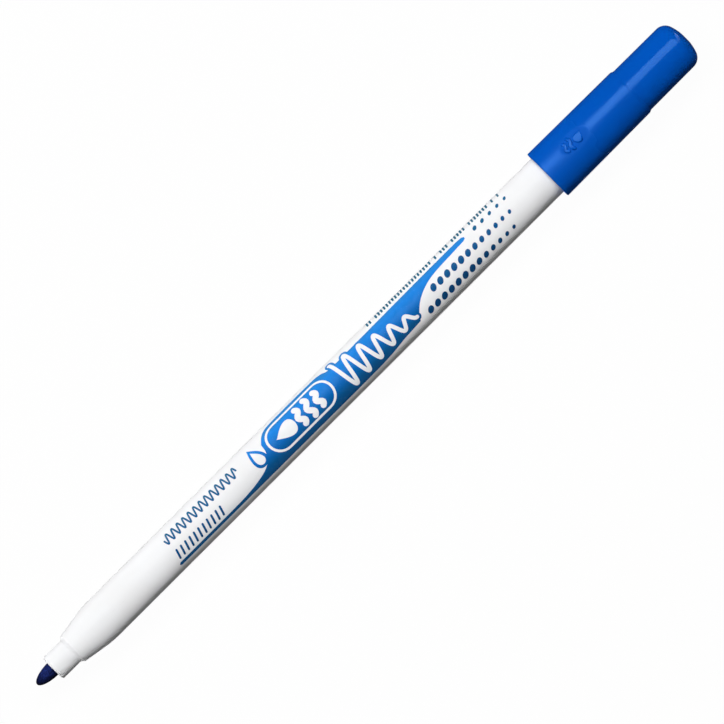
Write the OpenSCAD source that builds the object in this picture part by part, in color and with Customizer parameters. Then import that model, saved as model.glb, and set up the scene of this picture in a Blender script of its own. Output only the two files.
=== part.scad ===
// Felt tip marker with its cap posted: a white barrel that ends in a fibre nib, with a fibre
// reservoir inside, and a stepped, domed cap pushed onto the barrel's tail.
// Millimetres. The marker lies along X on the plane Z = 0, nib at -X and cap at +X.

/* [Nib] */
// Diameter of the bonded fibre rod
nib_d = 3.0; // [2.6:0.1:3.2]
// Length of nib that stands out of the nose
nib_reach = 4.15; // [3.5:0.05:4.5]
// Whole length of the nib, down into the reservoir
nib_len = 26; // [22:1:32]

/* [Nose and shoulder] */
// Diameter of the nose, which the cap's liner seals on
nose_d = 5.4; // [5.2:0.05:5.4]
// Length of the nose
nose_len = 5; // [4:0.1:5]
// Diameter of the shoulder where it meets the nose
ledge_d = 6.5; // [6.3:0.1:7]
// Length of the shoulder, from the nose to the full barrel
shoulder_len = 8.45; // [8:0.05:10]
// Radius that blends the shoulder's cone into the barrel
shoulder_blend = 24; // [10:1:26]

/* [Barrel] */
// Diameter of the barrel
barrel_d = 8.6; // [8.5:0.05:8.7]
// Length of the marker without its cap, nib and end plug included
body_len = 154.4; // [145:0.1:165]
// Wall of the barrel
barrel_wall = 1.0; // [0.8:0.05:1.1]
// Diameter of the turned-down tail that the cap is posted on
tail_d = 8.25; // [8.1:0.05:8.3]
// Ribs that hold the reservoir
barrel_ribs = 6; // [4:1:8]

/* [Cap] */
// Length of the cap, up to the top of its dome
cap_len = 36.3; // [36.1:0.1:38]
// Outer diameter at the mouth, the thickest place of the marker
cap_mouth_d = 10.8; // [10.6:0.1:12]
// Outer diameter just below the step
cap_step_d = 10.5; // [10.5:0.1:11]
// Distance of the step from the mouth
cap_step_at = 22; // [21.4:0.1:23]
// Outer diameter just above the step
cap_upper_d = 10.0; // [9.9:0.1:10.4]
// Outer diameter where the crown begins
cap_crown_d = 9.9; // [9.8:0.1:10]
// Radius of the rounding between the side and the dome
crown_corner = 2.4; // [2:0.1:2.6]
// Radius of the dome
dome_r = 10.5; // [9:0.5:14]
// How far the tail goes into the cap
post_depth = 20.2; // [19:0.1:20.3]
// Diameter of the air vent through the dome
vent_d = 2.2; // [1:0.1:3]
// Grip ribs and, above them, liner fins
cap_ribs = 6; // [4:1:8]

/* [Reservoir and plug] */
// Diameter of the fibre core
core_d = 5.5; // [5:0.1:5.5]
// Thickness of the film round the core
film = 0.13; // [0.1:0.01:0.14]
// Length of the plug's sleeve inside the barrel
plug_len = 9; // [6:0.5:12]
// Thickness of the plug's head
plug_head = 1.0; // [0.8:0.1:1.5]

/* [Hidden] */

$fn = 96;

// Gap between pieces that touch without gripping
hair = 0.02;
// Running clearance of a moving or sealing fit, on the radius
slip = 0.05;
// How far one solid is sunk into another that it is moulded with
root = 0.3;
// Amount that a cutting shape reaches past what it cuts
over = 1;
rib_w = 0.6;
// Turn about the axis: half of one of the 42 or 52 flats that a round face is meshed with, so
// that the marker lies on a flat of the barrel and on a flat of the cap
barrel_turn = 360 / 42 / 2;
cap_turn = 360 / 52 / 2;

nib_r = nib_d / 2;
nose_r = nose_d / 2;
ledge_r = ledge_d / 2;
barrel_r = barrel_d / 2;
tail_r = tail_d / 2;
core_r = core_d / 2;

// Stations along the marker, counted from the tip of the nib
nose_face = nib_reach;
ledge = nose_face + nose_len;
shoulder_end = ledge + shoulder_len;
tail_start = body_len - post_depth;
barrel_end = body_len - plug_head;

// Inside of the barrel
bore_r = barrel_r - barrel_wall;
nose_bore_r = nib_r + 0.2;
nose_bore_end = ledge + 1.6;
front_bore_r = 2.3;
stop = shoulder_end + 1.5;
hold_r = core_r + film + 2 * slip;

// The shoulder's cone meets its blend where both have the same slope
blend_angle = shoulder_slope(20);

// Reservoir and plug
core_start = stop + hair;
core_end = barrel_end - plug_len - 0.5;
pocket_len = nib_len + 0.5 - core_start;
sleeve_r = bore_r - hair;
head_bevel = 0.3;

// Cap, counted from its mouth
cap_mouth_r = cap_mouth_d / 2;
cap_step_r = cap_step_d / 2;
cap_upper_r = cap_upper_d / 2;
cap_crown_r = cap_crown_d / 2;
dome_centre = cap_len - dome_r;
crown_wall = 1.05;
cap_bore_r = tail_r + 0.35;
upper_bore_r = cap_upper_r - 1.02;
grip_r = tail_r + slip;
// The bevel of the plug's head meets a cone in the cap, both at 45 degrees
seat_sum = tail_r + post_depth - head_bevel + 1.5 * hair;
liner_r = 3.4;
liner_bore_r = 2.75;
liner_cell_r = 2.2;
liner_mouth = 24.6;
liner_gap = 0.3;
liner_wall = 0.6;
fin_r = liner_r - hair;

// Over all, with the cap posted: the vent takes the very top off the dome
dome_top = station_on(dome_centre, 0, dome_r, vent_d / 2);
total_len = tail_start + dome_top;

// Slope of the cone, found by letting it and its blend rise together from ledge to barrel
function shoulder_slope(tries, angle = 6) =
    tries == 0 ? angle :
    let (rise = barrel_r - ledge_r - shoulder_blend * (1 - cos(angle)))
    let (run = shoulder_len - shoulder_blend * sin(angle))
    shoulder_slope(tries - 1, atan2(rise, run));

// Points of an arc about centre, as [radius from the axis, station]
function arc(centre, r, from, to, steps = 8) = [
    for (i = [0:steps])
        let (a = from + (to - from) * i / steps)
        [centre[0] + r * cos(a), centre[1] + r * sin(a)]
];

// Station at which a circle of radius r, centred at station z and x off the axis, is side away
function station_on(z, x, r, side) = z + sqrt(pow(r, 2) - pow(side - x, 2));

// Centre of a corner that touches both a side and a dome, as [radius from the axis, station]
function corner_centre(side, corner, dome) = [
    side - corner,
    station_on(dome_centre, 0, dome - corner, side - corner)
];

// Outline of a crown, from its side round the corner to the top of the dome
function crown(side, corner, dome) =
    let (tilt = acos((side - corner) / (dome - corner)))
    concat(
        arc(corner_centre(side, corner, dome), corner, 0, tilt, 6),
        arc([0, dome_centre], dome, tilt, 90, 8)
    );

function reversed(list) = [for (i = [len(list) - 1:-1:0]) list[i]];

// Stands a shape that is drawn along Z in its place along X
module lay_down(turn = barrel_turn) {
    translate([-total_len / 2, 0, cap_mouth_r])
        rotate([0, 90, 0])
            rotate([0, 0, turn])
                children();
}

// The same for the cap, whose own stations start at its mouth
module lay_down_cap() {
    lay_down(cap_turn)
        translate([0, 0, tail_start])
            children();
}

// Straight ribs round the inside of a wall, from radius inner out to the wall
module ribs(count, inner, wall, from, to, width = rib_w) {
    for (i = [0:count - 1])
        rotate([0, 0, i * 360 / count])
            translate([inner, -width / 2, from])
                cube([wall + root - inner, width, to - from]);
}

module barrel_outside() {
    edge = 0.28;
    rim = 0.15;
    tail_edge = 0.2;
    rotate_extrude()
        polygon(concat(
            [[0, nose_face]],
            arc([nose_r - edge, nose_face + edge], edge, -90, 0, 4),
            [[nose_r, ledge], [ledge_r - rim, ledge], [ledge_r, ledge + rim]],
            arc(
                [barrel_r - shoulder_blend, shoulder_end],
                shoulder_blend, -blend_angle, 0, 6
            ),
            [[barrel_r, tail_start], [tail_r, tail_start]],
            [[tail_r, barrel_end - tail_edge], [tail_r - tail_edge, barrel_end]],
            [[0, barrel_end]]
        ));
}

module barrel_inside() {
    lead = 0.3;
    rotate_extrude()
        polygon([
            [0, nose_face - over], [nose_bore_r, nose_face - over],
            [nose_bore_r, nose_bore_end], [front_bore_r, nose_bore_end + lead],
            [front_bore_r, stop], [bore_r, stop],
            [bore_r, barrel_end + over], [0, barrel_end + over]
        ]);
}

// One moulding: nose, shoulder, barrel and tail, with ribs for the nib and the reservoir
module barrel() {
    nose_lead = 0.8;
    rib_gap = 3;
    color("white")
        lay_down() {
            difference() {
                barrel_outside();
                barrel_inside();
            }
            ribs(6, nib_r + hair, nose_bore_r, nose_face + nose_lead, nose_bore_end, 0.5);
            ribs(barrel_ribs, hold_r, bore_r, stop + rib_gap, core_end - rib_gap);
        }
}

// Bonded fibre rod, ground to a bullet point over the length that stands out of the nose
module nib() {
    steps = 10;
    fullness = 1.9;
    rear_bevel = 0.3;
    color("midnightblue")
        lay_down()
            rotate_extrude()
                polygon(concat(
                    [
                        for (i = [0:steps])
                            let (t = pow(i / steps, 2))
                            [nib_r * sqrt(1 - pow(1 - t, fullness)), nib_reach * t]
                    ],
                    [[nib_r, nib_len - rear_bevel], [nib_r - rear_bevel, nib_len]],
                    [[0, nib_len]]
                ));
}

// Ink-soaked fibre rod, with the pocket that the back of the nib is pushed into
module reservoir_core() {
    color("royalblue")
        lay_down()
            difference() {
                translate([0, 0, core_start])
                    cylinder(r = core_r, h = core_end - core_start);
                translate([0, 0, core_start - over])
                    cylinder(r = nib_r + hair, h = pocket_len + over);
            }
}

// Thin film sleeve round the fibre
module reservoir_wrap() {
    color("lightsteelblue")
        lay_down()
            translate([0, 0, core_start])
                difference() {
                    cylinder(r = core_r + hair + film, h = core_end - core_start);
                    translate([0, 0, -over])
                        cylinder(r = core_r + hair, h = core_end - core_start + 2 * over);
                }
}

// Press-in plug that closes the tail: bevelled head, hollow sleeve and crush ribs
module end_plug() {
    sleeve_wall = 0.8;
    tip_bevel = 0.3;
    crush = 0.03;
    start = barrel_end - plug_len;
    color("whitesmoke")
        lay_down() {
            rotate_extrude()
                polygon([
                    [sleeve_r - sleeve_wall, start], [sleeve_r - tip_bevel, start],
                    [sleeve_r, start + tip_bevel], [sleeve_r, barrel_end + hair],
                    [tail_r, barrel_end + hair], [tail_r, body_len - head_bevel],
                    [tail_r - head_bevel, body_len], [0, body_len],
                    [0, barrel_end], [sleeve_r - sleeve_wall, barrel_end - sleeve_wall]
                ]);
            ribs(6, sleeve_r - root, bore_r + crush - root, start + 1.5, barrel_end - 1);
        }
}

module cap_outside() {
    lip = 0.25;
    step_len = 0.5;
    rotate_extrude()
        polygon(concat(
            [[0, 0]],
            arc([cap_mouth_r - lip, lip], lip, -90, 0, 4),
            [[cap_step_r, cap_step_at - step_len / 2]],
            [[cap_upper_r, cap_step_at + step_len / 2]],
            crown(cap_crown_r, crown_corner, dome_r)
        ));
}

module cap_inside() {
    lead = 0.25;
    rotate_extrude()
        polygon(concat(
            [[0, -over], [cap_bore_r + lead, -over], [cap_bore_r + lead, 0]],
            [[cap_bore_r, 2 * lead], [cap_bore_r, seat_sum - cap_bore_r]],
            [[upper_bore_r, seat_sum - upper_bore_r]],
            crown(upper_bore_r, crown_corner - crown_wall, dome_r - crown_wall)
        ));
}

// Blue shell: tapered skirt, step, domed and vented crown, grip ribs and liner fins
module cap_shell() {
    grip_from = 3;
    corner = crown_corner - crown_wall;
    centre = corner_centre(upper_bore_r, corner, dome_r - crown_wall);
    fin_end = station_on(centre[1], centre[0], corner, fin_r) - slip;
    color("mediumblue")
        lay_down_cap() {
            difference() {
                cap_outside();
                cap_inside();
                cylinder(d = vent_d, h = cap_len + over);
            }
            ribs(cap_ribs, grip_r, cap_bore_r, grip_from, seat_sum - cap_bore_r);
            ribs(cap_ribs, fin_r, upper_bore_r, liner_mouth + 0.2, fin_end);
        }
}

// Sealing cup held by the shell's fins: its bore closes on the nose when the cap is over the nib
module cap_liner() {
    lead = 0.15;
    seal_len = nose_len + 0.2;
    corner = 1.0;
    dome = dome_r - crown_wall - liner_gap;
    cell_corner = corner - liner_wall;
    color("royalblue")
        lay_down_cap()
            rotate_extrude()
                polygon(concat(
                    [[liner_bore_r + lead, liner_mouth], [liner_r, liner_mouth]],
                    crown(liner_r, corner, dome),
                    reversed(crown(liner_cell_r, cell_corner, dome - liner_wall)),
                    [[liner_cell_r, liner_mouth + seal_len + 0.5]],
                    [[liner_bore_r, liner_mouth + seal_len], [liner_bore_r, liner_mouth + lead]]
                ));
}

barrel();
nib();
reservoir_core();
reservoir_wrap();
end_plug();
cap_shell();
cap_liner();
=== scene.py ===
"""Looks of the felt tip marker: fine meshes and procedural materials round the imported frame.

The marker lies along X with its nib at -X. A station is a distance in millimetres from the tip
of the nib. A place round the marker is an angle from straight up, positive towards -Y, or the
arc in millimetres that the angle makes on the surface there.
"""

import math
import random

import bpy
import numpy as np
from mathutils import Matrix, Vector
from mathutils.geometry import delaunay_2d_cdt


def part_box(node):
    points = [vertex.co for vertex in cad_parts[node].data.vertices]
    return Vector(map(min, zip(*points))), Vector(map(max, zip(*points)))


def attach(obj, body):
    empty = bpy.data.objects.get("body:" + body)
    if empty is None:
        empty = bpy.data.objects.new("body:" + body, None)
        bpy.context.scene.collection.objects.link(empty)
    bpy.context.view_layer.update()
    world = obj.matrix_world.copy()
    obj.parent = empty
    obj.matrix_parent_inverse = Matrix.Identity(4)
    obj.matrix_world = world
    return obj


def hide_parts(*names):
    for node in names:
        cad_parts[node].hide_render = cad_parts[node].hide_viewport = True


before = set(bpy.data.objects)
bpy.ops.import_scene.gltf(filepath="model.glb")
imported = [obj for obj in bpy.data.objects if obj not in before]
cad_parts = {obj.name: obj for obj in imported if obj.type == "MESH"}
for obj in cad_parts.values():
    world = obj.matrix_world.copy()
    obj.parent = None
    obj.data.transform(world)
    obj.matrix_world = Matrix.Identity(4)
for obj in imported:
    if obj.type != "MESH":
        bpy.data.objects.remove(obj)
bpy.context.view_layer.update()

MM = 0.001

nib_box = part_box("nib")
barrel_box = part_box("barrel")
plug_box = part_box("end_plug")
cap_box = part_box("cap_shell")
liner_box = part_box("cap_liner")

TIP_X = nib_box[0].x
AXIS_Z = (barrel_box[0].z + barrel_box[1].z) / 2


def station(x):
    """Millimetres from the tip of the nib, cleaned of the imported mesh's tiny errors."""
    return round((x - TIP_X) / MM, 2)


def radius(box):
    """Millimetres from the axis to the outside of a round piece."""
    return round((box[1].y - box[0].y) / 2 / MM, 1)


# Sizes that the frame gives
NIB_R = radius(nib_box)
NIB_END = station(nib_box[1].x)
NOSE_FACE = station(barrel_box[0].x)
BARREL_END = station(barrel_box[1].x)
BARREL_R = radius(barrel_box)
PLUG_START = station(plug_box[0].x)
BODY_END = station(plug_box[1].x)
MOUTH = station(cap_box[0].x)
MOUTH_R = radius(cap_box)
LINER_START = station(liner_box[0].x)
LINER_R = radius(liner_box)

# Sizes inside the pieces' boxes, as in the CAD model. SOCKET is the nib's seat in the shoulder.
NOSE_R = 2.7
NOSE_BORE_R = 1.6
LEDGE = NOSE_FACE + 5.0
LEDGE_R = 3.25
SHOULDER_CORNER = LEDGE + 6.53
SHOULDER_BLEND = 24
SOCKET_START = LEDGE + 1.7
SOCKET_END = LEDGE + 9.6
SOCKET_R = 2.3
BORE_R = 3.3
TAIL_R = 4.125
CAP_STEP = MOUTH + 22.0
CAP_STEP_R = 5.25
CAP_UPPER_R = 5.0
CAP_CROWN_R = 4.95
CROWN_CORNER = 2.4
CROWN_WALL = 1.05
DOME_R = 10.5
DOME_CENTRE = MOUTH + 25.8
VENT_R = 1.1
CAP_BORE_R = 4.475
CAP_UPPER_BORE_R = 3.98
CAP_SEAT = MOUTH + 20.05

# The dull panel round the cap's raised mark: its middle from the mouth and from the top line,
# and its size
PANEL_AT = 8.0
PANEL_SIDE = 1.05
PANEL_LONG = 7.2
PANEL_WIDE = 3.7

# What the camera sees: the width of its view and its shift to the right and up, in millimetres,
# and its roll in degrees
VIEW_WIDTH = 134.7364
VIEW_SHIFT = (0.143, -0.179)
VIEW_ROLL = -44.935

# How far the lights stand from the marker, in metres
LIGHT_DISTANCE = 1.2


# ---------------------------------------------------------------- outlines and meshes

def rounded(corners, closed):
    """Rounds the corners (station, radius, rounding) of an outline with arcs."""
    out = []
    for i, (s, r, fillet) in enumerate(corners):
        corner = Vector((s, r))
        if fillet == 0 or (not closed and i in (0, len(corners) - 1)):
            out.append(corner)
            continue
        back = (Vector(corners[i - 1][:2]) - corner).normalized()
        ahead = (Vector(corners[(i + 1) % len(corners)][:2]) - corner).normalized()
        half = back.angle(ahead) / 2
        centre = corner + (back + ahead).normalized() * fillet / math.sin(half)
        start = corner + back * fillet / math.tan(half) - centre
        end = corner + ahead * fillet / math.tan(half) - centre
        sweep = start.angle(end)
        steps = max(4, math.ceil(sweep / math.radians(12)), math.ceil(sweep * fillet / 0.3))
        for k in range(steps + 1):
            a, b = math.sin((1 - k / steps) * sweep), math.sin(k / steps * sweep)
            out.append(centre + (start * a + end * b) / math.sin(sweep))
    return out


def densified(outline, longest, closed):
    """The same outline with no stretch longer than longest."""
    out = []
    for i, p in enumerate(outline):
        out.append(p)
        if not closed and i == len(outline) - 1:
            break
        q = outline[(i + 1) % len(outline)]
        parts = math.ceil((q - p).length / longest)
        out += [p.lerp(q, k / parts) for k in range(1, parts)]
    return out


def arc(centre, r, start, end, steps):
    """Points of an arc. An angle, in degrees, turns from straight out towards the cap's end."""
    turns = [math.radians(start + (end - start) * k / steps) for k in range(steps + 1)]
    return [Vector((centre[0] + r * math.sin(a), centre[1] + r * math.cos(a))) for a in turns]


def crown(side, corner, dome, hole=0.0):
    """Outline of a crown, from its side round the corner to the dome's top or the hole in it."""
    steps = 14
    tilt = math.acos((side - corner) / (dome - corner))
    corner_s = DOME_CENTRE + (dome - corner) * math.sin(tilt)
    tilt = math.degrees(tilt)
    top = math.degrees(math.acos(hole / dome))
    rounding = arc((corner_s, side - corner), corner, 0, tilt, steps)
    return rounding + arc((DOME_CENTRE, 0), dome, tilt, top, steps)[1:]


def spread(count):
    """Even angles all the way round."""
    return [2 * math.pi * k / count for k in range(count)]


def place(s, r, angle):
    """The point at a station, a distance from the axis and an angle, in metres."""
    return (TIP_X + s * MM, -r * MM * math.sin(angle), AXIS_Z + r * MM * math.cos(angle))


def mesh_object(name, points, faces, material, body):
    """A piece with smooth shading, except at its sharp edges, that rides on a body."""
    mesh = bpy.data.meshes.new(name)
    mesh.from_pydata(points, [], faces)
    mesh.validate()
    mesh.polygons.foreach_set("use_smooth", [True] * len(mesh.polygons))
    mesh.set_sharp_from_angle(angle=math.radians(38))
    mesh.materials.append(material)
    obj = bpy.data.objects.new(name, mesh)
    bpy.context.collection.objects.link(obj)
    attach(obj, body)
    return obj


def lathe(name, outline, angles, material, body, closed=False, shape=None):
    """Turns an outline about the axis. shape(i, s, r, angle) moves its point i at an angle.

    Its outside runs from the nib to the cap, which turns the faces outwards. An outline that
    isn't closed starts and ends on the axis.
    """
    points, rings = [], []
    for i, (s, r) in enumerate(outline):
        if r < 1e-6:
            rings.append([len(points)] * len(angles))
            points.append(place(s, 0, 0))
            continue
        rings.append(range(len(points), len(points) + len(angles)))
        for angle in angles:
            ds, dr = shape(i, s, r, angle) if shape else (s, r)
            points.append(place(ds, dr, angle))
    if closed:
        rings.append(rings[0])
    faces = []
    for low, high in zip(rings, rings[1:]):
        for k in range(len(angles)):
            j = (k + 1) % len(angles)
            face = [low[j], high[j], high[k], low[k]]
            faces.append(list(dict.fromkeys(face)))
    return mesh_object(name, points, faces, material, body)


def smooth_step(x):
    """Rises smoothly from 0 to 1 as x does."""
    x = min(max(x, 0.0), 1.0)
    return x * x * (3 - 2 * x)


# ---------------------------------------------------------------- flat shapes wrapped round it

def within(loop, pts):
    """Which of the points lie inside a closed loop."""
    x, y = pts[:, 0], pts[:, 1]
    inside = np.zeros(len(pts), bool)
    for (x0, y0), (x1, y1) in zip(loop, np.roll(loop, -1, axis=0)):
        if y0 == y1:
            continue
        crosses = (y0 > y) != (y1 > y)
        inside ^= crosses & (x < (x1 - x0) * (y - y0) / (y1 - y0) + x0)
    return inside


def distance(path, pts):
    """How far each point is from an open path."""
    best = np.full(len(pts), 1e9)
    for a, b in zip(path, path[1:]):
        along = b - a
        t = np.clip(((pts - a) @ along) / max(along @ along, 1e-12), 0, 1)
        best = np.minimum(best, np.linalg.norm(pts - a - t[:, None] * along, axis=1))
    return best


class Shape:
    """A flat shape: the loops that hold its edges, and a test for the points inside it."""

    def __init__(self, loops, test):
        self.loops, self.test = loops, test

    def __or__(self, other):
        return Shape(self.loops + other.loops, lambda p: self.test(p) | other.test(p))

    def __sub__(self, other):
        return Shape(self.loops + other.loops, lambda p: self.test(p) & ~other.test(p))


def area(points):
    """The shape inside a closed loop."""
    loop = np.array(points, float)
    return Shape([loop], lambda p: within(loop, p))


def stroke(points, width):
    """A line of even width with round ends."""
    path = np.array(points, float)
    ahead = np.gradient(path, axis=0)
    ahead /= np.linalg.norm(ahead, axis=1)[:, None]
    side = np.stack([-ahead[:, 1], ahead[:, 0]], axis=1) * width / 2
    caps = []
    for centre, start in ((path[-1], side[-1]), (path[0], -side[0])):
        turn = np.linspace(0, -math.pi, 9)[1:-1]
        caps.append([
            centre + (start[0] * math.cos(t) - start[1] * math.sin(t),
                      start[0] * math.sin(t) + start[1] * math.cos(t))
            for t in turn
        ])
    loop = np.concatenate([path + side, caps[0], (path - side)[::-1], caps[1]])
    return Shape([loop], lambda p: distance(path, p) < width / 2)


def pill(s0, s1, q0, q1, steps=14):
    """A box with round ends."""
    r, mid = (q1 - q0) / 2, (q0 + q1) / 2
    turns = [math.pi * (k / steps - 0.5) for k in range(steps + 1)]
    right = [(s1 - r + r * math.cos(t), mid + r * math.sin(t)) for t in turns]
    left = [(s0 + r - r * math.cos(t), mid - r * math.sin(t)) for t in turns]
    return area(right + left)


def oval(s, q, long, wide, tilt, steps=20):
    """An oval whose long axis points along tilt."""
    c, d = math.cos(tilt), math.sin(tilt)
    turns = [2 * math.pi * k / steps for k in range(steps)]
    pts = [(long / 2 * math.cos(t), wide / 2 * math.sin(t)) for t in turns]
    return area([(s + x * c - y * d, q + x * d + y * c) for x, y in pts])


def drop(s, q, length, width, tilt, steps=36):
    """A drop whose tip points along tilt."""
    c, d = math.cos(tilt), math.sin(tilt)
    pts = []
    for k in range(steps):
        t = 2 * math.pi * k / steps
        pts.append((length / 2 * math.cos(t), 0.65 * width * math.sin(t) * math.sin(t / 2) ** 1.4))
    return area([(s + x * c - y * d, q + x * d + y * c) for x, y in pts])


def resampled(loop, step):
    """A closed loop with no stretch longer than step."""
    out = []
    for a, b in zip(loop, np.roll(loop, -1, axis=0)):
        parts = max(1, math.ceil(np.linalg.norm(b - a) / step))
        out += [a + (b - a) * k / parts for k in range(parts)]
    return np.array(out)


def triangulated(shape, step):
    """Points and triangles that fill a flat shape, about step apart."""
    loops = [resampled(loop, step) for loop in shape.loops]
    edge_points = np.concatenate(loops)
    lo, hi = edge_points.min(axis=0), edge_points.max(axis=0)
    row_gap = step * 0.87
    edge_gap = step * 0.45
    grid = np.array([
        (s, q)
        for j, q in enumerate(np.arange(lo[1], hi[1], row_gap))
        for s in np.arange(lo[0] + step / 2 * (j % 2), hi[0], step)
    ])
    grid = grid[shape.test(grid)]
    clear = np.array([np.abs(edge_points - g).sum(axis=1).min() > edge_gap for g in grid], bool)
    grid = grid[clear] if len(grid) else np.zeros((0, 2))
    points = [Vector(p) for p in np.concatenate([edge_points, grid])]
    edges, first = [], 0
    for loop in loops:
        n = len(loop)
        edges += [(first + i, first + (i + 1) % n) for i in range(n)]
        first += n
    flat, _, faces, *_ = delaunay_2d_cdt(points, edges, [], 0, 1e-5)
    flat = np.array([tuple(p) for p in flat])
    middles = flat[np.array(faces)].mean(axis=1)
    return flat, [f for f, kept in zip(faces, shape.test(middles)) if kept]


def rim_edges(faces):
    """The directed edges that only one triangle has."""
    edges = [(a, b) for f in faces for a, b in zip(f, f[1:] + f[:1])]
    known = set(edges)
    return [(a, b) for a, b in edges if (b, a) not in known]


def wrapped(name, shape, material, body, surface, rise, sunk, step, soften=0.0):
    """Lays a flat shape round the marker as a thin closed solid.

    surface(s) is the radius that it lies on. Its top stands rise above that and its bottom lies
    sunk below it. soften is the width over which its edge slopes up.
    """
    flat, faces = triangulated(shape, step)
    used = sorted({v for f in faces for v in f})
    index = {v: i for i, v in enumerate(used)}
    rim = rim_edges(faces)
    height = {v: rise for v in used}
    if soften:
        border = flat[sorted({v for e in rim for v in e})]
        for v in used:
            gap = np.linalg.norm(border - flat[v], axis=1).min()
            height[v] = rise * math.sin(math.pi / 2 * min(gap / soften, 1.0))

    def lay(v, above):
        s, q = flat[v]
        return place(s, surface(s) + above, q / surface(s))

    top = [lay(v, height[v]) for v in used]
    bottom = [lay(v, -sunk) for v in used]
    n = len(used)
    solid = [[index[v] for v in reversed(f)] for f in faces]
    under = [[n + i for i in reversed(f)] for f in solid]
    walls = [[index[a], index[b], n + index[b], n + index[a]] for a, b in rim]
    return mesh_object(name, top + bottom, solid + under + walls, material, body)


# ---------------------------------------------------------------- materials

def new_material(name, **values):
    """A principled material with constant values, and a function that adds nodes to it."""
    mat = bpy.data.materials.new(name)
    mat.use_nodes = True
    nodes, links = mat.node_tree.nodes, mat.node_tree.links
    bsdf = nodes["Principled BSDF"]
    for key, value in values.items():
        bsdf.inputs[key.replace("_", " ")].default_value = value

    def add(kind, inputs=None, **settings):
        node = nodes.new(kind)
        for key, value in settings.items():
            setattr(node, key, value)
        for key, value in (inputs or {}).items():
            if isinstance(value, bpy.types.NodeSocket):
                links.new(value, node.inputs[key])
            else:
                node.inputs[key].default_value = value
        return node

    def to_bsdf(key, socket):
        links.new(socket, bsdf.inputs[key])

    return mat, add, to_bsdf


def object_noise(add, scale, detail=3.0, stretch=(1, 1, 1), rough=0.5):
    """Noise fixed to the piece; scale is in cells per metre, and stretch squeezes it by axis."""
    coord = add("ShaderNodeTexCoord").outputs["Object"]
    mapped = add("ShaderNodeMapping", {"Vector": coord, "Scale": stretch}).outputs["Vector"]
    inputs = {"Vector": mapped, "Scale": scale, "Detail": detail, "Roughness": rough}
    return add("ShaderNodeTexNoise", inputs).outputs["Fac"]


def remap(add, value, low, high, to_low, to_high):
    """Turns low..high into to_low..to_high, smoothly and with nothing past the ends."""
    inputs = {
        "Value": value, "From Min": low, "From Max": high, "To Min": to_low, "To Max": to_high
    }
    return add("ShaderNodeMapRange", inputs, interpolation_type="SMOOTHSTEP").outputs["Result"]


def math_node(add, operation, a, b):
    return add("ShaderNodeMath", {0: a, 1: b}, operation=operation).outputs["Value"]


def mix_colour(add, factor, a, b):
    """Mixes two colours, each a socket or three numbers.

    0, 6, 7 and 2 are the places of the node's factor, its two colours and its colour output.
    """
    node = add("ShaderNodeMix", data_type="RGBA")
    tree = node.id_data
    for key, value in ((0, factor), (6, a), (7, b)):
        if isinstance(value, bpy.types.NodeSocket):
            tree.links.new(value, node.inputs[key])
        elif key == 0:
            node.inputs[key].default_value = value
        else:
            node.inputs[key].default_value = (*value, 1.0)
    return node.outputs[2]


def bump(add, height, strength, distance_m, normal=None):
    """Relief that height gives, on top of the relief in normal."""
    inputs = {"Height": height, "Strength": strength, "Distance": distance_m}
    if normal is not None:
        inputs["Normal"] = normal
    return add("ShaderNodeBump", inputs).outputs["Normal"]


def coordinate(add, axis):
    """One of the piece's own coordinates, in metres."""
    coord = add("ShaderNodeTexCoord").outputs["Object"]
    return add("ShaderNodeSeparateXYZ", {0: coord}).outputs[axis]


def moulded_surface(add, to_bsdf, rough_low, rough_high, duller=None):
    """Fine orange peel, faint flow lines along the marker, and rubbed and scratched patches.

    duller is an output that is added to the roughness.
    """
    peel = object_noise(add, 5200, 2.0)
    flow = object_noise(add, 260, 4.0, (1, 14, 14))
    hairs = object_noise(add, 900, 5.0, (0.35, 6, 6), 0.7)
    scratch = remap(add, hairs, 0.66, 0.72, 0.0, 1.0)
    rubbed = remap(add, object_noise(add, 120, 4.0), 0.42, 0.68, 0.0, 1.0)
    rough = remap(add, rubbed, 0.0, 1.0, rough_low, rough_high)
    if duller is not None:
        rough = math_node(add, "ADD", rough, duller)
    scratched = math_node(add, "MULTIPLY", scratch, 0.16)
    to_bsdf("Roughness", math_node(add, "ADD", rough, scratched))
    relief = bump(add, peel, 0.12, 4e-6)
    relief = bump(add, flow, 0.10, 1.2e-5, relief)
    to_bsdf("Normal", bump(add, math_node(add, "MULTIPLY", scratch, -1.0), 0.25, 4e-6, relief))
    return scratch, rubbed


def white_plastic():
    mat, add, to_bsdf = new_material(
        "white_polypropylene", IOR=1.49, Specular_IOR_Level=0.06, Diffuse_Roughness=0.65,
        Subsurface_Weight=0.05, Subsurface_Radius=(1.0, 0.95, 0.9), Subsurface_Scale=0.0005,
    )
    scratch, rubbed = moulded_surface(add, to_bsdf, 0.30, 0.42)
    tone = mix_colour(add, rubbed, (0.885, 0.89, 0.90), (0.87, 0.872, 0.878))
    tone = mix_colour(add, scratch, tone, (0.80, 0.80, 0.81))
    # A trace of ink where the nib leaves the nose
    face_x = TIP_X + NOSE_FACE * MM
    near = remap(add, coordinate(add, "X"), face_x - 0.01 * MM, face_x + 0.18 * MM, 0.30, 0.0)
    blot = remap(add, object_noise(add, 1500, 3.0), 0.40, 0.65, 0.2, 1.0)
    tone = mix_colour(add, math_node(add, "MULTIPLY", near, blot), tone, (0.45, 0.60, 0.86))
    to_bsdf("Base Color", tone)
    return mat


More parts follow.
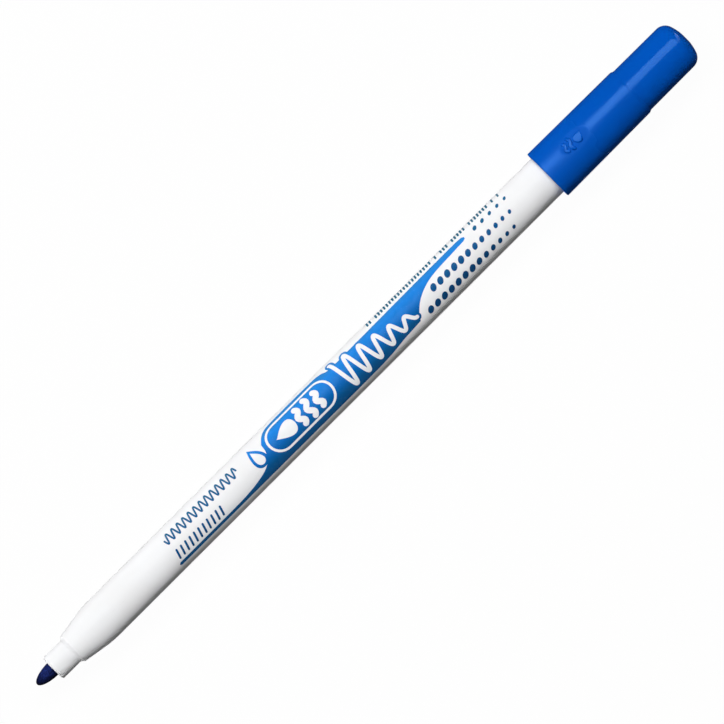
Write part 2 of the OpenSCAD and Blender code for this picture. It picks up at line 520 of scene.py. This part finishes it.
def dull_skirt(add):
    """Added roughness of the cap: most at the mouth and in the panel round the raised mark."""
    mouth_dull, edge_dull, panel_dull = 0.20, 0.05, 0.50
    edge_half = 0.3 * MM
    along, across = coordinate(add, "X"), coordinate(add, "Y")
    mouth_x, step_x = TIP_X + MOUTH * MM, TIP_X + CAP_STEP * MM
    skirt = remap(add, along, mouth_x, step_x, mouth_dull, 0.0)
    edge = remap(add, along, step_x - edge_half, step_x + edge_half, edge_dull, 0.0)
    middle_x, middle_y = mouth_x + PANEL_AT * MM, PANEL_SIDE * MM
    u = math_node(add, "DIVIDE", math_node(add, "SUBTRACT", along, middle_x), PANEL_LONG / 2 * MM)
    v = math_node(add, "DIVIDE", math_node(add, "SUBTRACT", across, middle_y), PANEL_WIDE / 2 * MM)
    reach = math_node(add, "ADD", math_node(add, "POWER", u, 2.0), math_node(add, "POWER", v, 2.0))
    panel = remap(add, reach, 0.75, 1.05, panel_dull, 0.0)
    return math_node(add, "ADD", panel, math_node(add, "ADD", skirt, edge))


def blue_plastic(name, dull):
    mat, add, to_bsdf = new_material(
        name, IOR=1.49, Specular_IOR_Level=0.5, Diffuse_Roughness=0.4,
        Specular_Tint=(0.21, 0.54, 1.0, 1.0),
        Subsurface_Weight=0.05, Subsurface_Radius=(0.1, 0.4, 1.0), Subsurface_Scale=0.0004,
    )
    duller = dull_skirt(add) if dull else None
    scratch, rubbed = moulded_surface(add, to_bsdf, 0.11, 0.16, duller)
    tone = mix_colour(add, rubbed, (0.0006, 0.097, 0.530), (0.0009, 0.090, 0.505))
    cloud = remap(add, object_noise(add, 60, 2.0), 0.35, 0.65, 0.0, 1.0)
    tone = mix_colour(add, math_node(add, "MULTIPLY", cloud, 0.5), tone, (0.0006, 0.103, 0.550))
    tone = mix_colour(add, math_node(add, "MULTIPLY", scratch, 0.4), tone, (0.015, 0.14, 0.58))
    to_bsdf("Base Color", tone)
    return mat


def liner_plastic():
    mat, add, to_bsdf = new_material(
        "liner_polyethylene", IOR=1.51, Specular_IOR_Level=0.4,
        Subsurface_Weight=0.1, Subsurface_Radius=(0.1, 0.4, 1.0), Subsurface_Scale=0.0006,
    )
    _, rubbed = moulded_surface(add, to_bsdf, 0.35, 0.5)
    to_bsdf("Base Color", mix_colour(add, rubbed, (0.015, 0.13, 0.56), (0.02, 0.15, 0.60)))
    return mat


def ink(name, stops):
    """Printed ink, a little uneven, with pinholes, that darkens round the barrel: partly the print's
    own gradient, partly painted shade.

    stops are pairs of an arc on the barrel and the ink's colour there.
    """
    mat, add, to_bsdf = new_material(
        name, IOR=1.5, Specular_IOR_Level=0.06, Diffuse_Roughness=0.65
    )
    # The ramp darkens the ink towards the near side: partly the print's own gradient, partly painted
    # shade
    scaled = remap(add, coordinate(add, "Y"), -BARREL_R * MM, BARREL_R * MM, 1.0, 0.0)
    scaled.node.interpolation_type = "LINEAR"
    ramp = add("ShaderNodeValToRGB", {"Fac": scaled})
    elements = ramp.color_ramp.elements
    while len(elements) < len(stops):
        elements.new(0.5)
    for element, (q, colour) in zip(elements, stops):
        element.position = (math.sin(q / BARREL_R) + 1) / 2
        element.color = (*colour, 1.0)
    density = remap(add, object_noise(add, 700, 3.0), 0.3, 0.7, 0.0, 0.08)
    tone = mix_colour(add, density, ramp.outputs["Color"], (0.01, 0.08, 0.26))
    pinholes = remap(add, object_noise(add, 5200, 1.0), 0.77, 0.80, 0.0, 0.25)
    to_bsdf("Base Color", mix_colour(add, pinholes, tone, (0.75, 0.80, 0.86)))
    to_bsdf("Roughness", remap(add, object_noise(add, 400, 3.0), 0.3, 0.7, 0.24, 0.34))
    to_bsdf("Normal", bump(add, object_noise(add, 5200, 2.0), 0.12, 4e-6))
    return mat


def fibre(name, dark, light, streak_scale, specular, half=0.0):
    """Bonded fibre soaked with ink: fine streaks along the rod and lighter and darker grains.

    half is the radius of a nib. A nib gets painted shade: its colour darkens towards its lower side
    and at its tip.
    """
    mat, add, to_bsdf = new_material(
        name, Specular_IOR_Level=specular, Sheen_Weight=0.02, Sheen_Roughness=0.5
    )
    streaks = object_noise(add, streak_scale, 4.0, (0.07, 1, 1), 0.65)
    grains = object_noise(add, streak_scale * 0.9, 3.0, (0.5, 1, 1))
    both = math_node(add, "MULTIPLY", streaks, math_node(add, "ADD", grains, 0.5))
    level = remap(add, both, 0.34, 0.66, 0.0, 1.0)
    # Painted shade: the nib's colour darkens towards its -Y side, away from the key light, and at
    # its tip
    if half:
        lower = remap(add, coordinate(add, "Y"), -half, 0.3 * half, 0.05, 1.0)
        tip = remap(add, coordinate(add, "X"), TIP_X, TIP_X + 1.8 * half, 0.1, 1.0)
        level = math_node(add, "MULTIPLY", level, math_node(add, "MULTIPLY", lower, tip))
    to_bsdf("Base Color", mix_colour(add, level, dark, light))
    to_bsdf("Roughness", remap(add, grains, 0.35, 0.65, 0.55, 0.85))
    to_bsdf("Normal", bump(add, both, 0.7, 3e-5))
    return mat


def film_plastic():
    mat, add, to_bsdf = new_material("wrap_film", IOR=1.5, Alpha=0.55)
    _, rubbed = moulded_surface(add, to_bsdf, 0.1, 0.2)
    to_bsdf("Base Color", mix_colour(add, rubbed, (0.55, 0.66, 0.85), (0.62, 0.72, 0.88)))
    return mat


# Ink colours by arc round the barrel, from its far side to its near side: the print's own gradient,
# darkened further by painted shade towards the near side, away from the key light
INK_AND_SHADE_STOPS = [
    (-3.6, (0.032, 0.255, 0.64)),
    (-2.6, (0.024, 0.280, 0.79)),
    (-1.2, (0.009, 0.225, 0.69)),
    (0.3, (0.004, 0.152, 0.52)),
    (2.0, (0.006, 0.104, 0.30)),
    (3.4, (0.010, 0.095, 0.27)),
]
# The same for the fine marks, with the same painted shade towards the near side
FINE_INK_AND_SHADE_STOPS = [
    (-5.4, (0.028, 0.155, 0.250)),
    (-2.9, (0.020, 0.150, 0.320)),
    (-0.2, (0.006, 0.105, 0.310)),
    (2.5, (0.007, 0.060, 0.180)),
]

MATERIALS = {
    "white": white_plastic(),
    "blue": blue_plastic("blue_polypropylene", True),
    "blue_mark": blue_plastic("blue_polypropylene_bright", False),
    "liner": liner_plastic(),
    "ink": ink("print_ink", INK_AND_SHADE_STOPS),
    "fine_ink": ink("print_ink_fine", FINE_INK_AND_SHADE_STOPS),
    # The nib's dark colour also serves as its painted shade
    "nib": fibre(
        "nib_fibre", (0.0003, 0.0010, 0.009), (0.017, 0.035, 0.215), 9000, 0.05, NIB_R * MM
    ),
    "core": fibre("core_fibre", (0.01, 0.05, 0.30), (0.03, 0.12, 0.60), 4000, 0.3),
    "film": film_plastic(),
}


# ---------------------------------------------------------------- the marker's pieces

def make_barrel():
    """Nose, ledge, shoulder, barrel and tail in one moulding, with its parting line."""
    slant = 0.32
    face_r = (NOSE_BORE_R + NOSE_R) / 2
    end_r = (BORE_R + TAIL_R) / 2
    outside = rounded([
        (NOSE_FACE, face_r, 0), (NOSE_FACE, NOSE_R, 0.48),
        (LEDGE - slant, NOSE_R, 0.4), (LEDGE + slant, LEDGE_R, 0.4),
        (SHOULDER_CORNER, BARREL_R, SHOULDER_BLEND),
        (MOUTH, BARREL_R, 0.05), (MOUTH, TAIL_R, 0.05),
        (BARREL_END, TAIL_R, 0.2), (BARREL_END, end_r, 0),
    ], False)
    inside = rounded([
        (BARREL_END, end_r - 0.1, 0), (BARREL_END, BORE_R, 0.1), (PLUG_START - 2, BORE_R, 0),
        (SOCKET_END, BORE_R, 0.2), (SOCKET_END, SOCKET_R, 0.2), (SOCKET_START, SOCKET_R, 0),
        (SOCKET_START - 0.3, NOSE_BORE_R, 0),
        (NOSE_FACE, NOSE_BORE_R, 0.08), (NOSE_FACE, face_r - 0.1, 0),
    ], False)
    longest = 6.0
    outside = densified(outside, longest, False)
    inside = densified(inside, longest, False)
    seam_half = 0.035
    seam_rise = 0.012
    seam_start = NOSE_FACE + 0.3
    seam_angles = [
        side * math.pi / 2 + k * seam_half / BARREL_R for side in (1, -1) for k in (-1, 0, 1)
    ]
    angles = sorted(a % (2 * math.pi) for a in spread(190) + seam_angles)

    def shape(i, s, r, angle):
        if i >= len(outside) or not seam_start < s < MOUTH:
            return s, r
        off = abs(abs(math.remainder(angle, 2 * math.pi)) - math.pi / 2) * r
        return s, r + seam_rise * max(0.0, 1 - off / seam_half)

    obj = lathe("barrel_moulding", outside + inside, angles, MATERIALS["white"], "body", True, shape)
    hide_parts("barrel")


def make_nib():
    """A bullet-pointed rod of fibres: ground tip, grooves between fibres, slightly uneven."""
    rng = random.Random(7)
    fibres = 44
    depth = [rng.uniform(0.010, 0.030) for _ in range(fibres)]
    phase = [9 * rng.uniform(-0.4, 0.4) for _ in range(fibres)]
    unevenness = 0.012
    steps = 44
    fullness = 1.9
    bevel = 0.3
    outline = [Vector((0.0, 0.0))]
    for i in range(1, steps + 1):
        t = (i / steps) ** 2
        outline.append(Vector((NOSE_FACE * t, NIB_R * math.sqrt(1 - (1 - t) ** fullness))))
    outline += [
        Vector((NOSE_FACE + 0.8, NIB_R)), Vector((NIB_END - bevel, NIB_R)),
        Vector((NIB_END, NIB_R - bevel)), Vector((NIB_END, 0.0))
    ]

    def shape(i, s, r, angle):
        turn = angle / (2 * math.pi) * fibres
        k = int(turn) % fibres
        groove = depth[k] * (0.5 - 0.5 * math.cos(2 * math.pi * turn))
        fade = smooth_step(s / 0.5) * (1 - smooth_step((s - NOSE_FACE - 0.1) / 0.4))
        wave = unevenness * math.sin(3.1 * s + phase[k]) * smooth_step(s / 0.8)
        return s, r - fade * (groove + abs(wave))

    angles = spread(fibres * 6)
    obj = lathe("nib_rod", outline, angles, MATERIALS["nib"], "body", False, shape)
    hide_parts("nib")


def make_plug():
    """The press-in end plug: dished head with a gate mark, bevelled rim, hollow sleeve."""
    rim = BODY_END
    corners = [
        (BARREL_END, 0, 0), (BARREL_END - 0.9, BORE_R - 0.85, 0.4),
        (PLUG_START, BORE_R - 0.8, 0.1), (PLUG_START, BORE_R - 0.05, 0.3),
        (BARREL_END + 0.02, BORE_R - 0.02, 0.03), (BARREL_END + 0.02, TAIL_R, 0.08),
        (rim - 0.3, TAIL_R, 0.12), (rim, TAIL_R - 0.3, 0.12), (rim, 2.8, 0.2),
        (rim - 0.12, 2.5, 0.2), (rim - 0.10, 0.55, 0.05), (rim - 0.22, 0.45, 0.05),
        (rim - 0.22, 0, 0),
    ]
    outline = rounded(corners, False)
    obj = lathe("end_plug_moulding", outline, spread(160), MATERIALS["white"], "body")
    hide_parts("end_plug")


def cap_outside_radius(s):
    """Radius of the cap's tapered skirt at a station."""
    return MOUTH_R + (CAP_STEP_R - MOUTH_R) * (s - MOUTH) / (CAP_STEP - MOUTH)


def make_cap():
    """Blue shell: lip, tapered skirt, step, domed and vented crown, grip ribs and liner fins."""
    lip = 0.22
    step_half = 0.28
    vent_edge = 0.08
    outside = rounded([
        (MOUTH + 0.5, CAP_BORE_R, 0), (MOUTH, CAP_BORE_R + 0.25, 0.08), (MOUTH, MOUTH_R, lip),
        (CAP_STEP - step_half, CAP_STEP_R, 0.5), (CAP_STEP + step_half, CAP_UPPER_R, 0.35),
        (CAP_STEP + 5, CAP_UPPER_R - 0.02, 0),
    ], False)
    outside += crown(CAP_CROWN_R, CROWN_CORNER, DOME_R, VENT_R + vent_edge)
    rim_s = outside[-1].x
    outside.append(Vector((rim_s - 0.02, VENT_R + 0.02)))
    outside.append(Vector((rim_s - 0.09, VENT_R)))
    inside = crown(CAP_UPPER_BORE_R, CROWN_CORNER - CROWN_WALL, DOME_R - CROWN_WALL, VENT_R)[::-1]
    inside += [
        Vector((CAP_SEAT + 0.02, CAP_UPPER_BORE_R)), Vector((CAP_SEAT - 0.47, CAP_BORE_R)),
        Vector((MOUTH + 0.52, CAP_BORE_R)),
    ]
    longest = 0.5
    outside = densified(outside, longest, False)
    inside = densified(inside, longest, False)

    ribs = 6
    rib_half, rib_root = 0.22, 0.16
    grip_from, grip_to, grip_r = MOUTH + 2.6, CAP_SEAT - 0.4, TAIL_R + 0.05
    fin_from, fin_r = LINER_START + 0.2, LINER_R - 0.02

    def shape(i, s, r, angle):
        if i < len(outside):
            return s, r
        off = abs(math.remainder(angle, 2 * math.pi / ribs)) * r
        rib = 1 - smooth_step((off - rib_half) / rib_root)
        if r > CAP_UPPER_BORE_R + 0.01:
            ramp = smooth_step((s - grip_from) / 0.8) * smooth_step((grip_to - s) / 0.3)
            return s, r + (grip_r - r) * rib * ramp
        ramp = smooth_step((s - fin_from) / 0.3)
        return s, r + min(0.0, fin_r - r) * rib * ramp

    rib_angles = [
        k * 2 * math.pi / ribs + j * 0.05 / TAIL_R for k in range(ribs) for j in range(-9, 10)
    ]
    angles = sorted({round(a % (2 * math.pi), 5) for a in spread(180) + rib_angles})
    obj = lathe("cap_moulding", outside + inside, angles, MATERIALS["blue"], "cap", True, shape)
    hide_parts("cap_shell")


def make_cap_mark():
    """A small raised mark on the skirt: a drop beside two waves."""
    s, q = MOUTH + PANEL_AT, -1.2
    steps = 20
    shape = drop(s + 1.05, q, 2.5, 2.2, math.radians(-35))
    for shift, half, line in ((-2.15, 0.9, 0.72), (-0.95, 1.2, 0.78)):
        wave = [
            (s + shift + 0.25 * math.sin(2 * math.pi * k / steps), q - half + 2 * half * k / steps)
            for k in range(steps + 1)
        ]
        shape = shape | stroke(wave, line)
    obj = wrapped(
        "cap_mark", shape, MATERIALS["blue_mark"], "cap", cap_outside_radius,
        rise=0.22, sunk=0.06, step=0.12, soften=0.18,
    )


def make_liner():
    """The sealing cup inside the cap."""
    gap, wall, corner = 0.3, 0.6, 1.0
    dome = DOME_R - CROWN_WALL - gap
    cell_r, seal_r = 2.2, 2.75
    seal_end = LINER_START + 5.2
    lead = 0.15
    outline = [Vector((LINER_START + lead, seal_r)), Vector((LINER_START, seal_r + lead))]
    outline += [Vector((LINER_START, LINER_R - 0.1)), Vector((LINER_START + 0.1, LINER_R))]
    outline += crown(LINER_R, corner, dome)
    outline += crown(cell_r, corner - wall, dome - wall)[::-1]
    outline += [Vector((seal_end + 0.5, cell_r)), Vector((seal_end, seal_r))]
    outline = densified(outline, 1.0, True)
    obj = lathe("liner_cup", outline, spread(120), MATERIALS["liner"], "cap", True)
    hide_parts("cap_liner")


# ---------------------------------------------------------------- print on the barrel

def barrel_surface(s):
    """The barrel's radius, which is the same at every station of the print."""
    return BARREL_R


def curve(knots, steps=10):
    """A smooth line through a few knots."""
    pts = [np.array(k, float) for k in knots]
    pts = [2 * pts[0] - pts[1], *pts, 2 * pts[-1] - pts[-2]]
    out = []
    for p0, p1, p2, p3 in zip(pts, pts[1:], pts[2:], pts[3:]):
        for k in range(steps):
            t = k / steps
            out.append(
                0.5 * (2 * p1 + (p2 - p0) * t + (2 * p0 - 5 * p1 + 4 * p2 - p3) * t * t
                       + (3 * p1 - p0 - 3 * p2 + p3) * t ** 3)
            )
    return out + [pts[-2]]


# The pill-shaped ring in the ribbon: the stations of its ends and the arcs of its sides
BADGE = (61.7, 78.3, -3.93, 2.35)


def printed(name, shape, material):
    """A thin layer of ink on the barrel."""
    obj = wrapped(
        name, shape, MATERIALS[material], "body", barrel_surface, rise=0.012, sunk=0.03, step=0.32
    )


def scribble():
    """A wave that dies away: the path of the white stroke across the ribbon."""
    start, end, periods = 80.2, 98.4, 5.5
    steps = 260
    out = []
    for k in range(steps + 1):
        t = k / steps
        middle = -0.75 + 1.7 * t
        swing = 2.9 * (1 - t) ** 0.9 + 0.6
        turn = 2 * math.pi * periods * t
        out.append((start + (end - start) * t, middle - swing * math.cos(turn)))
    return out


def ribbon_shape():
    """The ribbon's outline, from its left end along its upper edge and back along its lower."""
    left_end = [(35.0, 3.75), (34.65, 3.55), (34.65, 3.25), (35.0, 3.03)]
    upper_left = curve([
        (40, 3.02), (49.5, 3.0), (53.5, 2.8), (56.8, 2.25), (58.7, 1.6), (60.1, 0.6), (60.8, -0.8)
    ])
    over_badge = curve([
        (61.0, -2.2), (62.8, -4.1), (65.6, -4.75), (74.5, -4.75), (77.4, -4.5), (79.1, -3.6)
    ])
    upper_right = curve([(82, -3.38), (92, -3.5), (104, -3.62), (113.2, -3.62)])
    right_end = [(114.5, -3.5), (115.0, -3.15), (114.95, -2.7), (114.4, -2.5)]
    under = curve([
        (111.7, -2.38), (106.7, -2.1), (103.7, -1.5), (101.1, -0.3), (99.3, 1.2), (98.3, 2.7)
    ])
    lower = curve([(93.7, 3.0), (89.7, 3.55), (83.7, 3.75), (60, 3.75), (40, 3.75)])
    return area(left_end + upper_left + over_badge + upper_right + right_end + under + lower)


def badge_motif():
    """A drop and three upright waves, one and a half periods each."""
    motif = drop(66.1, -0.7, 4.8, 3.5, math.radians(180))
    steps = 18
    for k, half in enumerate((1.7, 1.9, 1.6)):
        at = 69.8 + 2.35 * k
        wave = [
            (at + 0.45 * math.sin(3 * math.pi * j / steps), -0.75 - half + 2 * half * j / steps)
            for j in range(steps + 1)
        ]
        motif = motif | stroke(wave, 1.15)
    return motif


def make_ribbon():
    """The blue ribbon that widens round the badge and the scribble, then tapers away."""
    s0, s1, q0, q1 = BADGE
    line = 0.5
    ring = pill(s0, s1, q0, q1) - pill(s0 + line, s1 - line, q0 + line, q1 - line)
    line_path = scribble()
    outline = stroke(line_path, 1.7)
    white_line = stroke(line_path, 0.78)
    blue = (ribbon_shape() | outline) - ring - badge_motif() - white_line
    printed("print_ribbon", blue, "ink")


def waver(k):
    """A tiny unevenness, so that marks in a row are never exactly in line."""
    return 0.015 * math.sin(2.4 * k)


def joined(shapes):
    """One shape of several that don't touch."""
    loops = [loop for shape in shapes for loop in shape.loops]
    return Shape(loops, lambda p: np.any([shape.test(p) for shape in shapes], axis=0))


def make_dots():
    """Three rows of leaning dots: the first ones of a row are even, and the rest shrink.

    A row is its arc, its first station, its pitch, how many dots it has, how many of them are
    even, and the length of its first and of its last dot.
    """
    rows = [
        (-2.85, 117.6, 1.95, 5, 1, 1.12, 0.85),
        (-0.22, 104.4, 1.813, 12, 5, 1.62, 0.9),
        (2.54, 101.2, 1.815, 13, 7, 1.7, 0.93),
    ]
    slimness, lean = 0.73, math.radians(-52)
    for number, (q, first, pitch, count, even, big, small) in enumerate(rows, 1):
        dots = []
        for k in range(count):
            shrunk = max(0, k - even + 1) / (count - even)
            size = big + (small - big) * shrunk
            dots.append(oval(first + pitch * k, q + waver(k), size, size * slimness, lean))
        printed(f"print_dots_{number}", joined(dots), "fine_ink")


def make_wave():
    """An even wave."""
    start, length, swing = 35.6, 18.7, 1.0
    periods = 13
    steps = 24 * periods
    wave = [
        (start + length * k / steps, -2.17 + swing * math.sin(2 * math.pi * periods * k / steps))
        for k in range(steps + 1)
    ]
    printed("print_wave", stroke(wave, 0.36), "fine_ink")


def make_bars():
    """A row of leaning bars."""
    first, pitch, count = 35.6, 1.14, 11
    bars = []
    for k in range(count):
        at, low = first + pitch * k, 2.3 + waver(k)
        bars.append(stroke([(at, low), (at + 0.15, low - 0.5), (at + 0.5, low - 1.7)], 0.42))
    printed("print_bars", joined(bars), "fine_ink")


def make_small_drop():
    """The outline of a drop, before the badge."""
    tip = math.radians(-105)
    small = drop(58.75, -1.15, 5.0, 3.3, tip) - drop(58.8, -0.95, 3.5, 2.0, tip)
    printed("print_drop", small, "ink")


def make_ticks():
    """A row of fine ticks in groups of random length."""
    start, end = 90.7, 125.2
    pitch, gap, gap_chance = 0.74, 1.5, 0.12
    rng = random.Random(3)
    ticks = []
    at = start
    while at < end:
        top, low = rng.uniform(-6.3, -5.9), rng.uniform(-4.65, -4.5)
        ticks.append(stroke([(at, top), (at + 0.03, (top + low) / 2), (at, low)], 0.40))
        at += gap if rng.random() < gap_chance else pitch
    printed("print_ticks", joined(ticks), "fine_ink")


def dress_inner_nodes():
    """The fibre core and its film keep their CAD meshes."""
    for node, key in (("reservoir_core", "core"), ("reservoir_wrap", "film")):
        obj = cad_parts[node]
        obj.data.materials.clear()
        obj.data.materials.append(MATERIALS[key])


# ---------------------------------------------------------------- stage, lights and camera

def unseen_by_object(obj):
    """The camera sees it, but it doesn't light the marker, shine in its gloss or block light."""
    obj.visible_diffuse = False
    obj.visible_glossy = False
    obj.visible_transmission = False
    obj.visible_shadow = False


def glowing(name, emission, diffuse):
    """A surface that glows evenly, and takes a faint shadow where it is diffuse."""
    mat = bpy.data.materials.new(name)
    mat.use_nodes = True
    nodes, links = mat.node_tree.nodes, mat.node_tree.links
    nodes.clear()
    out = nodes.new("ShaderNodeOutputMaterial")
    add = nodes.new("ShaderNodeAddShader")
    glow = nodes.new("ShaderNodeEmission")
    glow.inputs["Color"].default_value = (1.0, 1.0, 1.0, 1.0)
    glow.inputs["Strength"].default_value = emission
    matt = nodes.new("ShaderNodeBsdfDiffuse")
    matt.inputs["Color"].default_value = (diffuse, diffuse, diffuse, 1.0)
    links.new(glow.outputs[0], add.inputs[0])
    links.new(matt.outputs[0], add.inputs[1])
    links.new(add.outputs[0], out.inputs["Surface"])
    return mat


def make_stage():
    """A pale floor and backdrop that glow, and an almost dark world."""
    bpy.ops.mesh.primitive_plane_add(size=30, location=(0, 0, 0))
    floor = bpy.context.object
    floor.name = "floor"
    floor.data.materials.append(glowing("light_table", emission=0.972, diffuse=0.022))
    bpy.ops.mesh.primitive_uv_sphere_add(radius=20, location=(0, 0, 0))
    backdrop = bpy.context.object
    backdrop.name = "backdrop"
    backdrop.data.materials.append(glowing("backdrop", emission=0.985, diffuse=0.0))
    for obj in (floor, backdrop):
        unseen_by_object(obj)
    world = bpy.data.worlds.new("dim_world")
    world.use_nodes = True
    background = world.node_tree.nodes["Background"]
    background.inputs["Color"].default_value = (1, 1, 1, 1)
    background.inputs["Strength"].default_value = 0.015
    bpy.context.scene.world = world


def softbox(name, lean, length, width, power, diffuse=True, glossy=True, tilt=0.0):
    """A soft light that faces the marker, with its length and width in metres, its power in watts.

    lean turns it from straight above towards -Y, in degrees, and tilt from there towards +X.
    """
    light = bpy.data.lights.new(name, "AREA")
    light.shape = "RECTANGLE"
    light.size, light.size_y = length, width
    light.energy = power
    obj = bpy.data.objects.new(name, light)
    bpy.context.collection.objects.link(obj)
    a, b = math.radians(lean), math.radians(tilt)
    away = Vector((math.sin(b), -math.sin(a) * math.cos(b), math.cos(a) * math.cos(b)))
    obj.location = Vector((0, 0, AXIS_Z)) + away * LIGHT_DISTANCE
    across = Vector((1, 0, 0)) - away * away.x
    across.normalize()
    up = away.cross(across)
    obj.rotation_mode = "QUATERNION"
    obj.rotation_quaternion = Matrix((across, up, away)).transposed().to_quaternion()
    obj.visible_diffuse = diffuse
    obj.visible_glossy = glossy
    return obj


def make_lights():
    """A soft key over the far side, fills from all round, and strips that only the gloss shows."""
    softbox("key", -28, 1.6, 0.42, 17.0, glossy=False)
    softbox("front_fill", 0, 1.6, 0.42, 2.3, glossy=False)
    softbox("under_fill", 160, 1.6, 0.42, 21.0, glossy=False)
    softbox("cap_end_fill", 0, 0.5, 0.5, 1.5, glossy=False, tilt=84)
    softbox("nib_end_fill", 0, 0.5, 0.5, 2.2, glossy=False, tilt=-84)
    softbox("strip", -24, 3.4, 0.70, 25.0, diffuse=False)
    softbox("strip_end", -82, 0.28, 1.3, 2.0, diffuse=False, tilt=77)


def make_camera():
    """Straight down, rolled so that the marker runs from lower left to upper right."""
    cam = bpy.data.cameras.new("camera")
    cam.type = "PERSP"
    cam.lens = 1000
    cam.sensor_width = 36
    obj = bpy.data.objects.new("camera", cam)
    bpy.context.collection.objects.link(obj)
    distance_m = VIEW_WIDTH * MM * cam.lens / cam.sensor_width
    roll = math.radians(VIEW_ROLL)
    right = Vector((math.cos(roll), math.sin(roll), 0))
    up = Vector((-math.sin(roll), math.cos(roll), 0))
    shift = (right * VIEW_SHIFT[0] + up * VIEW_SHIFT[1]) * MM
    obj.location = Vector((0, 0, AXIS_Z + distance_m)) + shift
    obj.rotation_euler = (0, 0, roll)
    cam.clip_start, cam.clip_end = 0.01, 100
    bpy.context.scene.camera = obj


def set_view():
    """Plain colours, with no film look."""
    scene = bpy.context.scene
    scene.view_settings.view_transform = "Standard"
    scene.view_settings.look = "None"
    scene.view_settings.exposure = 0
    scene.view_settings.gamma = 1


make_barrel()
make_nib()
make_plug()
make_cap()
make_cap_mark()
make_liner()
make_ribbon()
make_dots()
make_wave()
make_bars()
make_small_drop()
make_ticks()
dress_inner_nodes()
make_stage()
make_lights()
make_camera()
set_view()
